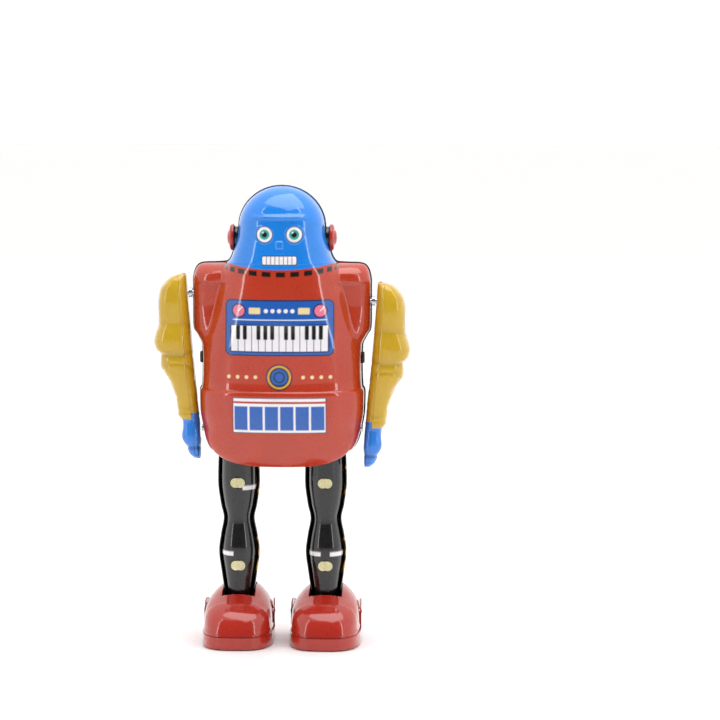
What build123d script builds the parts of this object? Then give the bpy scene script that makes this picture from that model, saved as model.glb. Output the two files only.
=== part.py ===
"""Tin wind-up walking robot: pressed shells over a spring motor that swings the legs and arms.

Units are millimetres. The robot faces -Y, its left side is +X, and it stands on z = 0.
"""

import os
from math import atan, cos, pi, radians, sin, sqrt, tan

from build123d import *

# ---------------------------------------------------------------- driving dimensions
TIN = 0.5                    # pressed sheet thickness
PLATE = 0.8                  # motor plate thickness
RUNNING = 0.05               # radial clearance of a running fit
SEAM_BEAD = 0.4              # how far the back shell's edge stands outside the front shell
SEAM_BEAD_DEPTH = 0.8

HIP = (-2.0, 82.0)           # y, z of the hip axle
CRANK = (-2.0, 100.0)        # y, z of the crankshaft
ANKLE = (-2.0, 11.0)         # y, z of the ankle pins
BARREL_Z = 115.0             # height of the winding arbor, which lies along y at x = 0
ARM_Y = -2.0                 # fore and aft place of the arm pivots
ARM_Z = {"left": 131.0, "right": 134.0}
ARM_PIN_Z = 115.0            # height of the pins that the leg struts push
LEG_X = 16.7                 # centre plane of each leg and shoe
SIDES = {"left": 1, "right": -1}

AXLE_R = 1.2                 # hip axle and winding arbor
SHAFT_R = 1.0                # crankshaft and intermediate arbor
PIVOT_R = 0.8                # small pivots
WIRE_R = 0.9                 # arm wires

# Torso by height: half width of the outline, half width of the middle bulge, depth of the
# bulge in front, depth at the shoulders in front, depth behind.
TORSO_STATIONS = [
    (68.4, 13.0, 13.0, 11.6, 11.2, 8.6),
    (69.2, 18.0, 18.0, 12.6, 12.0, 9.8),
    (71.0, 22.8, 22.8, 13.8, 13.0, 11.4),
    (74.0, 26.6, 26.6, 15.8, 14.4, 13.2),
    (78.0, 29.0, 29.0, 17.6, 15.4, 14.4),
    (83.0, 30.3, 30.3, 18.9, 16.2, 14.9),
    (90.0, 31.3, 31.3, 19.7, 16.6, 15.0),
    (97.0, 31.4, 31.4, 19.7, 16.6, 15.0),
    (98.6, 30.6, 30.6, 19.0, 15.6, 15.0),
    (106.0, 30.3, 30.3, 18.8, 14.6, 15.0),
    (114.0, 30.5, 29.8, 18.8, 12.8, 15.0),
    (118.0, 32.2, 29.2, 18.7, 11.8, 15.0),
    (120.5, 33.6, 28.4, 18.6, 11.2, 15.0),
    (130.0, 33.8, 26.0, 18.2, 10.2, 14.6),
    (137.0, 33.8, 24.4, 17.8, 10.2, 14.0),
    (141.6, 33.4, 23.4, 17.4, 10.2, 13.2),
    (144.2, 32.2, 22.2, 17.1, 7.6, 12.6),
    (145.4, 30.0, 21.0, 16.9, 4.4, 12.0),
]
BULGE_POWER = 2.3            # squareness of the middle bulge
SHOULDER_POWER = 3.2         # squareness of the outline
SKIRT_Z = 82.0               # below here the outline grows squarer, by this much a millimetre
SKIRT_SQUARING = 0.3
VALLEY = 7.0                 # how sharply bulge and shoulder meet

# Head by height: half width, depth in front, depth behind.
HEAD_STATIONS = [
    (144.2, 22.0, 17.1, 12.6),
    (145.6, 21.2, 17.0, 12.6),
    (146.6, 19.9, 16.8, 12.7),
    (148.4, 18.9, 16.5, 12.9),
    (152.0, 17.9, 16.1, 13.3),
    (159.0, 16.3, 15.5, 13.6),
]
HEAD_POWER = 2.1
DOME_TOP = 174.6
DOME_STEPS = 7
EAR_Z = 155.0
EAR_CAP = (4.8, 18.3, 20.6)  # radius, inner face, crown
EAR_BASE = (3.9, 14.6)       # radius, inner face

# Arm by height above its pivot: inner edge, outer edge, depth in front, depth behind.
ARM_STATIONS = [
    (7.2, 36.7, 38.2, 2.2, 2.2),
    (6.6, 36.5, 41.0, 4.0, 4.0),
    (4.4, 36.3, 44.0, 6.0, 6.0),
    (1.2, 36.1, 46.2, 7.0, 7.0),
    (-4.5, 35.7, 47.0, 7.4, 7.4),
    (-11.5, 35.1, 46.9, 7.2, 7.2),
    (-15.0, 34.8, 47.9, 7.4, 7.6),
    (-18.6, 34.5, 48.6, 7.6, 7.8),
    (-21.6, 34.2, 47.9, 7.5, 7.4),
    (-24.0, 34.0, 46.2, 7.0, 6.6),
    (-27.4, 33.7, 46.2, 7.2, 6.6),
    (-33.5, 33.1, 42.9, 6.8, 5.6),
    (-39.0, 32.5, 40.8, 6.2, 4.6),
    (-47.6, 31.8, 39.0, 5.6, 4.2),
    (-49.0, 31.6, 38.0, 5.2, 3.8),
    (-54.0, 31.3, 37.6, 5.8, 4.0),
    (-58.0, 31.2, 36.8, 5.2, 3.8),
    (-62.0, 31.2, 35.2, 4.2, 3.0),
    (-63.6, 31.4, 33.4, 2.4, 1.6),
]
ARM_POWER = 2.6
ARM_SEAM_X = 38.8            # where the two halves of an arm meet, at the pivot's height
ARM_CANT = 0.09              # how far the seam leans in for each millimetre down
COLLAR = (1.9, 34.3, 35.5)   # radius, inner face, outer face
LEVER_X = 20.5               # where an arm wire turns down inside the torso

# Leg by height: half width, depth in front, depth behind, from the leg's own axis.
LEG_STATIONS = [
    (13.6, 5.0, 4.6, 4.8),
    (17.0, 5.2, 4.8, 5.0),
    (26.0, 6.4, 5.8, 6.6),
    (34.5, 7.4, 6.6, 7.4),
    (41.0, 6.6, 6.0, 6.4),
    (47.5, 5.5, 5.4, 5.4),
    (53.0, 6.6, 6.0, 6.0),
    (62.0, 7.6, 6.8, 6.8),
    (70.0, 7.4, 6.8, 6.6),
    (76.0, 6.8, 6.4, 6.2),
]
LEG_POWER = 2.6
LEG_SEAM = -1.0              # where the back channel starts, from the leg's axis
LEG_LAP = 2.0                # how far the front channel runs inside the back one
LEG_INSET = 0.9              # how much narrower the front channel is
TAB_Z = (29.6, 61.7)         # heights of the bent tabs
TAB = (5.5, 3.7, 0.5)        # width, height, thickness of a pair of bent tabs
TAB_GAP = 0.2                # half the slit between the two rounded tabs of a pair
LEG_OPENING = (8.8, 24.9, -11.0, 7.6, 77.0)   # inner x, outer x, front, back, top

# Shoe, with y from the toe (-) to the heel (+).
SHOE = (13.6, -26.0, 16.0)   # half width, toe, heel
SHOE_POWER = 3.0
BAND_Z = (0.5, 4.9)
SOLE_T = 0.5
UPPER_STATIONS = [           # height, half width, front, back
    (4.9, 12.6, -24.9, 15.0),
    (7.0, 12.4, -24.2, 14.9),
    (10.0, 12.0, -22.6, 14.6),
    (13.0, 11.3, -19.6, 14.0),
    (15.6, 10.2, -15.6, 13.2),
    (17.6, 8.8, -10.6, 12.2),
    (19.6, 6.8, -6.0, 11.0),
    (21.4, 3.4, 0.5, 9.6),
]
UPPER_POWER = 2.6
ANKLE_SLOT = (6.2, -9.2, 6.4)                 # half width, front and back
CHEEK = (3.0, 8.6, 6.4)      # y, z and radius of a shoe's round side flap
ROLLER = (-16.0, 3.6, 6.5)   # y, radius (and height), half width
ROLLER_RIBS = 16
ROLLER_HOLE = (7.0, -20.4, -11.6)             # half width, front and back
HEEL_PAD = (5.0, 10.4, 14.4) # half width, front, back
PAWL_T = 0.4                 # thickness of the leaf that stops a roller turning backwards
PAWL_ROOT = (6.5, 8.5)       # its flat root on the sole, front and back, behind the roller
PAWL_TIP = (3.7, 4.8)        # y behind the roller and z of its raised tip
PAWL_HALF = 2.0

# Gear train.
PRESSURE = radians(25)
BARREL_TEETH = 48
INTERMEDIATE_TEETH = 12
TRAIN_MODULE = 0.5
CROWN_TEETH = 30
CRANK_TEETH = 10
CROWN_MODULE = 0.5
CROWN_FACE = (6.9, 8.1)      # inner and outer radius of the crown teeth
GOVERNOR_WHEEL_TEETH = 40
GOVERNOR_TEETH = 8
GOVERNOR_MODULE = 0.4
RATCHET_TEETH = 12
ESCAPE_TEETH = 12
ADDENDUM = 0.8
DEDENDUM = 1.1
TRAIN_Z = BARREL_Z - TRAIN_MODULE * (BARREL_TEETH + INTERMEDIATE_TEETH) / 2
GOVERNOR_Z = TRAIN_Z - GOVERNOR_MODULE * (GOVERNOR_WHEEL_TEETH + GOVERNOR_TEETH) / 2
ANCHOR_Z = 82.6

# Layers of the motor along y.
CROWN_DISC = (1.0, 2.0)
FRONT_PLATE = (2.6, 3.4)
BARREL_WHEEL = (3.8, 4.8)
BARREL_BACK = 8.0
GOVERNOR_WHEEL = (8.7, 9.6)
BACK_PLATE = (10.3, 11.1)
RATCHET = (11.4, 12.4)
CLICK_SPRING_Y = 12.8
ESCAPE = (5.6, 6.3)
BARREL_R = 10.8
MOTOR_HALF_WIDTH = 13.2      # inner face of each side plate
MOTOR_Z = (77.0, 130.0)
SIDE_PLATE_Y = (-6.0, 11.1)
BRIDGE_Z = 137.6             # underside of the bracket that carries the arm wires
BRIDGE = (24.8, -5.0, 1.0)   # half width, front, back
STRUT = (16.3, 17.1)         # faces of a leg strut
CRANK_DISC = (14.5, 15.5, 4.2)   # inner face, outer face, radius
CRANK_THROW = 2.5
CRANK_PIN_END = 16.0         # stops short of the strut it drives
KEY = (15.5, 26.0, 4.4, 7.0)  # sleeve start, end of the wings, wing radius, wing offset
CLICK_PIVOT = (-8.0, BARREL_Z + 6.2)


# ---------------------------------------------------------------- helpers
def rod(radius, start, end):
    """A round rod between two points."""
    start = Vector(*start)
    along = Vector(*end) - start
    return Solid.make_cylinder(radius, along.length, Plane(origin=start, z_dir=along))


def block(low, high):
    """A box between two corners."""
    sizes = [b - a for a, b in zip(low, high)]
    return Solid.make_box(*sizes, Plane(origin=low))


def flip(shape, side):
    """A left-hand shape, mirrored for the right side."""
    return shape if side == "left" else shape.mirror(Plane.YZ)


def face_of(points):
    return Face(Wire.make_polygon([Vector(*p) for p in points], close=True))


def plate_y(outline, y_low, y_high):
    """A plate between two y planes, from corners (x, z)."""
    face = face_of([(x, y_low, z) for x, z in outline])
    return Solid.extrude(face, Vector(0, y_high - y_low, 0))


def plate_x(outline, x_low, x_high):
    """A plate between two x planes, from corners (y, z)."""
    face = face_of([(x_low, y, z) for y, z in outline])
    return Solid.extrude(face, Vector(x_high - x_low, 0, 0))


def ring(points):
    """A smooth closed wire."""
    return Wire([Edge.make_spline([Vector(*p) for p in points], periodic=True)])


def skin(rings):
    return Solid.make_loft(rings, ruled=True)


def power_arc(x, half_width, depth, power):
    """Depth of a squarish oval at x, or nothing outside it."""
    u = min(abs(x / half_width), 1.0)
    return depth * (1 - u ** power) ** (1 / power)


def oval(z, centre_x, half_width, front, back, power, count=32):
    """A squarish oval ring at height z, between y = front and y = back."""
    mid = (front + back) / 2
    depth = (back - front) / 2
    points = []
    for i in range(count):
        c = cos(2 * pi * i / count)
        s = sin(2 * pi * i / count)
        x = half_width * abs(c) ** (2 / power) * (1 if c > 0 else -1)
        y = depth * abs(s) ** (2 / power) * (1 if s > 0 else -1)
        points.append((centre_x + x, mid + y, z))
    return ring(points)


def half_space_y(low, high):
    """Everything between two y planes."""
    return block((-80, low, -20), (80, high, 200))


def tube(outer, inner, start, end):
    return rod(outer, start, end) - rod(inner, start, end)


def gear(teeth, module, phase, backlash):
    """Corners of an involute gear at the origin, with a tooth centred at angle phase."""
    pitch = module * teeth / 2
    base = pitch * cos(PRESSURE)
    tip = pitch + ADDENDUM * module
    root = pitch - DEDENDUM * module
    half_tooth = (pi * module / 2 - backlash) / 2 / pitch + tan(PRESSURE) - PRESSURE
    lowest = max(base, root)
    flank = [(root, half_tooth)]
    for k in range(5):
        radius = lowest + (tip - lowest) * k / 4
        roll = sqrt((radius / base) ** 2 - 1)
        flank.append((radius, half_tooth - roll + atan(roll)))
    corners = []
    for i in range(teeth):
        middle = phase + 2 * pi * i / teeth
        corners += [(r * cos(middle - a), r * sin(middle - a)) for r, a in flank]
        corners += [(r * cos(middle + a), r * sin(middle + a)) for r, a in reversed(flank)]
    return corners


def shifted(outline, across, up):
    return [(a + across, b + up) for a, b in outline]


# ---------------------------------------------------------------- torso and head
def body_ring(z, half_width, bulge, front, shoulder, back, power):
    """One level of the body: a squarish oval with a rounder bulge in front."""
    quarter = [0, radians(2.5)] + [radians(7.5 * k) for k in range(1, 12)]
    turns = [pi / 2 * k for k in range(4)]
    points = []
    for turn in turns:
        mirrored = turn in (turns[1], turns[3])
        steps = [pi / 2 - t for t in reversed(quarter[1:] + [pi / 2])] if mirrored else quarter
        for step in steps:
            angle = turn + step
            x = half_width * cos(angle)
            if sin(angle) > 1e-9:
                y = power_arc(x, half_width, back, power)
            else:
                swell = power_arc(x, bulge, front, BULGE_POWER) if abs(x) < bulge else 0.0
                side = power_arc(x, half_width, shoulder, power)
                y = -((swell ** VALLEY + side ** VALLEY) ** (1 / VALLEY))
            points.append((x, y, z))
    return ring(points)


def torso_solid(inset):
    """The torso's outline, inset by a wall, as one solid."""
    low = TORSO_STATIONS[0][0]
    high = TORSO_STATIONS[-1][0]
    rings = []
    for z, half_width, bulge, front, shoulder, back in TORSO_STATIONS:
        level = z
        if inset > 0:
            level = min(max(z, low + inset), high - inset)
        sizes = [value - inset for value in (half_width, bulge, front, shoulder, back)]
        power = SHOULDER_POWER + SKIRT_SQUARING * max(0.0, SKIRT_Z - z)
        rings.append(body_ring(level, *sizes, power))
    return skin(rings)


def head_solid(inset):
    """The head and its dome, open into the torso below."""
    rings = []
    for z, half_width, front, back in HEAD_STATIONS:
        width = half_width - inset
        rings.append(body_ring(z, width, width, front - inset, 0.1, back - inset, HEAD_POWER))
    dome_z, dome_width, dome_front, dome_back = HEAD_STATIONS[-1]
    height = DOME_TOP - dome_z - inset
    for k in range(1, DOME_STEPS + 1):
        angle = radians(86) * k / DOME_STEPS
        width = (dome_width - inset) * cos(angle)
        front = (dome_front - inset) * cos(angle)
        back = (dome_back - inset) * cos(angle)
        rings.append(body_ring(dome_z + height * sin(angle), width, width, front, 0.01, back, HEAD_POWER))
    return skin(rings)


def torso_shells():
    outer = torso_solid(0) + head_solid(0)
    inner = torso_solid(TIN) + head_solid(TIN)
    beaded = torso_solid(-SEAM_BEAD) + head_solid(-SEAM_BEAD)
    in_x, out_x, front_y, back_y, top_z = LEG_OPENING
    openings = [block((in_x, front_y, 60), (out_x, back_y, top_z))]
    openings.append(openings[0].mirror(Plane.YZ))
    front = (outer & half_space_y(-40, 0)) - inner
    for opening in openings:
        front -= opening
    front -= rod(AXLE_R + RUNNING, (-60, *HIP), (60, *HIP))
    for side, sign in SIDES.items():
        height = ARM_Z[side]
        front -= rod(WIRE_R + 0.4, (sign * 25, ARM_Y, height), (sign * 60, ARM_Y, height))
    back = (outer & half_space_y(0, 40)) + (beaded & half_space_y(0, SEAM_BEAD_DEPTH)) - inner
    for sign in SIDES.values():
        near, far = sorted((sign * 30.5, sign * 31.6))
        back += block((near, -2.2, 107.1), (far, 0.6, 111.6))
    for opening in openings:
        back -= opening
    back -= rod(AXLE_R + 0.6, (0, 5, BARREL_Z), (0, 40, BARREL_Z))
    return {"torso_front_shell": front, "torso_back_shell": back}, beaded


def ears(body, side):
    """A domed cap on a round base, standing out of the side of the head's seam bead."""
    radius, face, crown = EAR_CAP
    base_radius, start = EAR_BASE
    cap = rod(radius, (face, 0, EAR_Z), (face + 1.0, 0, EAR_Z))
    cap += rod(radius * 0.82, (face + 1.0, 0, EAR_Z), (face + 1.7, 0, EAR_Z))
    cap += rod(radius * 0.5, (face + 1.7, 0, EAR_Z), (crown, 0, EAR_Z))
    base = rod(base_radius, (start, 0, EAR_Z), (face, 0, EAR_Z)) - body
    return {f"ear_cap_{side}": flip(cap - body, side), f"ear_base_{side}": flip(base, side)}


# ---------------------------------------------------------------- motor frame
def motor_frame():
    low, high = MOTOR_Z
    width = MOTOR_HALF_WIDTH
    outline = [(-width, low), (width, low), (width, high), (-width, high)]
    pivots = [
        (BARREL_Z, AXLE_R),
        (TRAIN_Z, SHAFT_R),
        (GOVERNOR_Z, PIVOT_R),
        (ANCHOR_Z, PIVOT_R),
    ]
    plates = {}
    for node, span in (("chassis_front_plate", FRONT_PLATE), ("chassis_back_plate", BACK_PLATE)):
        sheet = plate_y(outline, *span)
        for height, radius in pivots:
            sheet -= rod(radius + RUNNING, (0, 0, height), (0, 20, height))
        plates[node] = sheet
    post_x, post_z = CLICK_PIVOT
    plates["chassis_back_plate"] += rod(PIVOT_R, (post_x, BACK_PLATE[1], post_z), (post_x, 13.3, post_z))

    front_y, back_y = SIDE_PLATE_Y
    _, bridge_front, bridge_back = BRIDGE
    outline = [(front_y, low), (back_y, low), (back_y, high), (bridge_back, high)]
    outline += [(bridge_back, BRIDGE_Z), (bridge_front, BRIDGE_Z), (bridge_front, high), (front_y, high)]
    cheek = plate_x(outline, width, width + PLATE)
    cheek -= rod(AXLE_R, (0, *HIP), (60, *HIP))
    cheek -= rod(SHAFT_R + RUNNING, (0, *CRANK), (60, *CRANK))
    for side in SIDES:
        plates[f"chassis_side_plate_{side}"] = flip(cheek, side)

    pillars = []
    for x in (-11.2, 11.2):
        for z in (low + 3, high - 2.2):
            pillars.append(rod(AXLE_R, (x, FRONT_PLATE[1], z), (x, BACK_PLATE[0], z)))
    plates["frame_pillars"] = Compound(pillars)
    return plates


def arm_bearing_bracket():
    """A bridge over the motor whose turned-down ears carry the two arm wires."""
    width, front_y, back_y = BRIDGE
    bracket = block((-width, front_y, BRIDGE_Z), (width, back_y, BRIDGE_Z + PLATE))
    for side, sign in SIDES.items():
        near, far = sorted((sign * (width - PLATE), sign * width))
        bracket += block((near, front_y, ARM_Z[side] - 3.2), (far, back_y, BRIDGE_Z))
        height = ARM_Z[side]
        bracket -= rod(WIRE_R + RUNNING, (sign * 20, ARM_Y, height), (sign * 30, ARM_Y, height))
    return bracket


def hip_parts():
    end = 30.9
    spacers = []
    for sign in SIDES.values():
        for near, far in ((MOTOR_HALF_WIDTH + PLATE, STRUT[0] - 0.2), (STRUT[1] + 0.2, 19.0)):
            spacers.append(tube(2.2, AXLE_R, (sign * near, *HIP), (sign * far, *HIP)))
    return {"hip_axle": rod(AXLE_R, (-end, *HIP), (end, *HIP)), "hip_spacers": Compound(spacers)}


# ---------------------------------------------------------------- winding
def winding_parts():
    sleeve_y, end_y, lobe, offset = KEY
    lobe_y = end_y - lobe
    arbor = rod(AXLE_R, (0, FRONT_PLATE[0] - 0.4, BARREL_Z), (0, 19.5, BARREL_Z))
    arbor += rod(2.2, (0, 5.0, BARREL_Z), (0, 7.2, BARREL_Z))
    low, high = BARREL_Z - 0.5, BARREL_Z + 0.5
    key = block((-offset, 19.0, low), (offset, 24.0, high))
    for x in (-offset, offset):
        key += rod(lobe, (x, lobe_y, low), (x, lobe_y, high))
        key -= rod(lobe * 0.45, (x, lobe_y, low), (x, lobe_y, high))
    key += rod(2.2, (0, sleeve_y, BARREL_Z), (0, 21.0, BARREL_Z))
    key -= rod(AXLE_R, (0, 0, BARREL_Z), (0, 19.5, BARREL_Z))
    return {"winding_arbor": arbor, "winding_key": key, "ratchet_wheel": ratchet_wheel()}


def ratchet_wheel():
    """Saw teeth whose steep faces lie on radial lines, one straight up."""
    tip, root = 4.6, 3.6
    corners = []
    for i in range(RATCHET_TEETH):
        angle = pi / 2 + 2 * pi * i / RATCHET_TEETH
        corners += [(tip * cos(angle), tip * sin(angle)), (root * cos(angle), root * sin(angle))]
    wheel = plate_y(shifted(corners, 0, BARREL_Z), *RATCHET)
    return wheel - rod(AXLE_R, (0, 0, BARREL_Z), (0, 20, BARREL_Z))


def click_parts():
    """The click drops into the ratchet's top tooth, and a hairpin spring lies behind it."""
    x, z = CLICK_PIVOT
    low, high = RATCHET[0] + 0.1, RATCHET[1] - 0.1
    finger = [(-0.15, 3.8), (-0.15, 4.9), (-2.4, 5.5), (-7.4, 7.7), (-8.6, 4.8), (-2.8, 4.45)]
    click = plate_y(shifted(finger, 0, BARREL_Z), low, high)
    click += rod(1.8, (x, low, z), (x, high, z))
    click -= rod(PIVOT_R + RUNNING, (x, low, z), (x, high, z))
    behind = CLICK_SPRING_Y
    spring = tube(1.4, PIVOT_R, (x, behind - 0.3, z), (x, behind + 0.3, z))
    spring += rod(0.25, (x, behind, z + 1.1), (x + 6.2, behind, z - 0.2))
    spring += rod(0.25, (x - 1.1, behind, z), (x - 3.6, behind, z - 4.4))
    return {"ratchet_click": click, "click_spring": spring}


def barrel_parts():
    low, high = BARREL_WHEEL
    phase = -pi / 2
    wheel = plate_y(shifted(gear(BARREL_TEETH, TRAIN_MODULE, phase, 0.12), 0, BARREL_Z), low, high)
    barrel = wheel + tube(BARREL_R, BARREL_R - TIN, (0, high, BARREL_Z), (0, BARREL_BACK, BARREL_Z))
    barrel -= rod(AXLE_R + RUNNING, (0, low, BARREL_Z), (0, high, BARREL_Z))
    cover = tube(BARREL_R - TIN, AXLE_R + RUNNING, (0, BARREL_BACK - 0.6, BARREL_Z), (0, BARREL_BACK, BARREL_Z))
    return {"spring_barrel": barrel, "barrel_cover": cover, "mainspring": mainspring()}


def mainspring():
    """A flat strip coiled in the barrel."""
    turns, steps, strip = 7, 16, 0.35
    inner_r, outer_r = 2.7, 9.6
    count = turns * steps
    edges = []
    for extra in (0.0, strip):
        points = []
        for i in range(count + 1):
            angle = 2 * pi * i / steps
            radius = inner_r + (outer_r - inner_r) * i / count + extra
            points.append(Vector(radius * cos(angle), 5.0, BARREL_Z + radius * sin(angle)))
        edges.append(Edge.make_spline(points))
    near, far = edges
    caps = [Edge.make_line(near @ 0, far @ 0), Edge.make_line(near @ 1, far @ 1)]
    return Solid.extrude(Face(Wire([near, caps[1], far, caps[0]])), Vector(0, 2.2, 0))


# ---------------------------------------------------------------- gear train
def intermediate_parts():
    arbor = rod(SHAFT_R, (0, 0.6, TRAIN_Z), (0, 11.6, TRAIN_Z))
    phase = pi / 2 + pi / INTERMEDIATE_TEETH
    pinion = gear(INTERMEDIATE_TEETH, TRAIN_MODULE, phase, 0.12)
    arbor += plate_y(shifted(pinion, 0, TRAIN_Z), BARREL_WHEEL[0] - 0.2, BARREL_WHEEL[1] + 0.3)

    wheel_teeth = gear(GOVERNOR_WHEEL_TEETH, GOVERNOR_MODULE, -pi / 2, 0.12)
    wheel = plate_y(shifted(wheel_teeth, 0, TRAIN_Z), *GOVERNOR_WHEEL)
    wheel -= rod(SHAFT_R, (0, 0, TRAIN_Z), (0, 20, TRAIN_Z))
    for k in range(5):
        angle = 2 * pi * k / 5
        x, z = 4.6 * cos(angle), TRAIN_Z + 4.6 * sin(angle)
        wheel -= rod(1.7, (x, 0, z), (x, 20, z))
    return {
        "intermediate_arbor": arbor,
        "governor_drive_wheel": wheel,
        "contrate_wheel": contrate_wheel(),
    }


def contrate_wheel():
    """A disc with teeth that stand forward from its face and drive the crankshaft."""
    face_y, back_y = CROWN_DISC
    near, far = CROWN_FACE
    pitch_y = face_y - 0.5
    slope = tan(PRESSURE)
    half = (pi * CROWN_MODULE / 2 - 0.25) / 2
    tip_y = pitch_y - ADDENDUM * CROWN_MODULE
    root_half = half + slope * (face_y - pitch_y)
    tip_half = half - slope * (pitch_y - tip_y)
    outline = [(face_y, -root_half), (face_y, root_half), (tip_y, tip_half), (tip_y, -tip_half)]
    tooth = plate_x(shifted(outline, 0, TRAIN_Z), near, far)
    wheel = rod(far, (0, face_y, TRAIN_Z), (0, back_y, TRAIN_Z))
    axis = Axis((0, 0, TRAIN_Z), (0, 1, 0))
    teeth = [tooth.rotate(axis, 360 * k / CROWN_TEETH) for k in range(CROWN_TEETH)]
    wheel = wheel.fuse(*teeth)
    return wheel - rod(SHAFT_R, (0, 0, TRAIN_Z), (0, 20, TRAIN_Z))


def crank_parts():
    start, end, radius = CRANK_DISC
    y, z = CRANK
    parts = {"crankshaft": rod(SHAFT_R, (-end, y, z), (end, y, z))}
    pinion = gear(CRANK_TEETH, CROWN_MODULE, pi / CRANK_TEETH, 0.15)
    middle = sum(CROWN_FACE) / 2
    parts["crank_pinion"] = plate_x(shifted(pinion, y, z), middle - 0.9, middle + 0.9)
    parts["crank_pinion"] -= rod(SHAFT_R, (0, y, z), (20, y, z))
    for side, sign in SIDES.items():
        pin_z = z + sign * CRANK_THROW
        disc = rod(radius, (start, y, z), (end, y, z)) - rod(SHAFT_R, (start, y, z), (end, y, z))
        disc += rod(WIRE_R, (end, y, pin_z), (CRANK_PIN_END, y, pin_z))
        parts[f"crank_disc_{side}"] = flip(disc, side)
    return parts


def governor_parts():
    """An escape wheel on its pinion, and the weighted anchor that rocks beneath it."""
    ends = (FRONT_PLATE[0] - 0.3, BACK_PLATE[1] + 0.3)
    tip, root = 4.5, 3.3
    corners = []
    for i in range(ESCAPE_TEETH):
        angle = 2 * pi * i / ESCAPE_TEETH
        lean = angle - pi / ESCAPE_TEETH
        corners += [(root * cos(lean), root * sin(lean)), (tip * cos(angle), tip * sin(angle))]
    wheel = plate_y(shifted(corners, 0, GOVERNOR_Z), *ESCAPE)
    wheel += rod(PIVOT_R, (0, ends[0], GOVERNOR_Z), (0, ends[1], GOVERNOR_Z))
    phase = pi / 2 + pi / GOVERNOR_TEETH
    pinion = gear(GOVERNOR_TEETH, GOVERNOR_MODULE, phase, 0.12)
    wheel += plate_y(shifted(pinion, 0, GOVERNOR_Z), GOVERNOR_WHEEL[0] - 0.2, GOVERNOR_WHEEL[1] + 0.2)

    arm = [(0, 1.8), (4.6, 5.3), (4.9, 6.3), (5.6, 7.0), (6.6, 6.0), (6.4, 4.2), (1.8, 0.3), (0, 0)]
    left_arm = plate_y(shifted(arm, 0, ANCHOR_Z), *ESCAPE)
    anchor = left_arm + left_arm.mirror(Plane.YZ)
    anchor += rod(1.8, (0, ESCAPE[0], ANCHOR_Z), (0, ESCAPE[1], ANCHOR_Z))
    anchor += block((-0.8, ESCAPE[0], 79.5), (0.8, ESCAPE[1], ANCHOR_Z))
    anchor += block((-2.8, 4.4, 77.6), (2.8, 8.4, 80.0))
    anchor += rod(PIVOT_R, (0, ends[0], ANCHOR_Z), (0, ends[1], ANCHOR_Z))
    return {"escape_wheel": wheel, "escapement_anchor": anchor}


# ---------------------------------------------------------------- legs
def leg_solid(narrowing, inset):
    """A leg's outline, narrowed and inset, as one solid through both open ends."""
    rings = []
    low, high = LEG_STATIONS[0][0], LEG_STATIONS[-1][0]
    for z, half_width, front, back in LEG_STATIONS:
        level = z
        if inset and z == low:
            level = low - 1
        if inset and z == high:
            level = high + 1
        front_y = HIP[0] - front + inset
        back_y = HIP[0] + back - inset
        rings.append(oval(level, LEG_X, half_width - narrowing - inset, front_y, back_y, LEG_POWER))
    return skin(rings)


def leg_depth(z):
    """How far a leg's front face stands before its axis at height z."""
    for lower, upper in zip(LEG_STATIONS, LEG_STATIONS[1:]):
        if lower[0] <= z <= upper[0]:
            share = (z - lower[0]) / (upper[0] - lower[0])
            return lower[2] + (upper[2] - lower[2]) * share
    return LEG_STATIONS[-1][2]


def leg_parts(side):
    seam = HIP[0] + LEG_SEAM
    narrow = leg_solid(LEG_INSET, 0)
    front = (narrow - leg_solid(LEG_INSET, TIN)) & half_space_y(-40, seam + LEG_LAP)
    back = (leg_solid(0, 0) - leg_solid(0, TIN)) & half_space_y(seam, 40)
    width, height, thick = TAB
    strut = leg_strut()
    for z in TAB_Z:
        face_y = HIP[0] - leg_depth(z)
        low, high = z - height / 2, z + height / 2
        front -= block((STRUT[0] - 0.05, -40, low - 0.05), (STRUT[1] + 0.05, seam, high + 0.05))
        strut += block((STRUT[0], face_y, low), (STRUT[1], HIP[0] - 2.0, high))
        near, far = face_y - thick, face_y + 0.3
        reach = (width - height) / 2
        flaps = rod(height / 2, (LEG_X - reach, near, z), (LEG_X - reach, far, z))
        flaps += rod(height / 2, (LEG_X + reach, near, z), (LEG_X + reach, far, z))
        flaps -= block((LEG_X - TAB_GAP, near - 1, low - 1), (LEG_X + TAB_GAP, face_y, high + 1))
        strut += flaps - narrow
    parts = {"leg_strut": strut, "leg_front_shell": front, "leg_back_shell": back}
    return {f"{node}_{side}": flip(shape, side) for node, shape in parts.items()}


def leg_strut():
    """A flat strip from the ankle to the arm wire's pin, pivoted on the hip axle."""
    y = HIP[0]
    half = 2.6
    wide = 4.6
    crank_z = CRANK[1]
    right = [(half - 0.8, 8.6), (half, 10.0), (half, crank_z - 12), (wide, crank_z - 7)]
    right += [(wide, crank_z + 6), (half, crank_z + 10), (half, ARM_PIN_Z + 4.4)]
    left = [(-a, z) for a, z in reversed(right)]
    strut = plate_x(shifted(right + left, y, 0), *STRUT)
    strut -= block((STRUT[0], y - 1.2, ARM_PIN_Z - 2.0), (STRUT[1], y + 1.2, ARM_PIN_Z + 3.2))
    reach = CRANK_THROW + 1.4
    strut -= block((STRUT[0], y - 1.1, crank_z - reach), (STRUT[1], y + 1.1, crank_z + reach))
    strut -= rod(AXLE_R + RUNNING, (0, *HIP), (60, *HIP))
    strut -= rod(PIVOT_R + RUNNING, (0, *ANKLE), (60, *ANKLE))
    return strut


# ---------------------------------------------------------------- shoes
def outline_solid(z_low, z_high, inset):
    """The shoe's plan outline, inset, between two heights."""
    half_width, toe, heel = SHOE
    wire = oval(z_low, LEG_X, half_width - inset, toe + inset, heel - inset, SHOE_POWER, 40)
    return Solid.extrude(Face(wire), Vector(0, 0, z_high - z_low))


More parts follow.
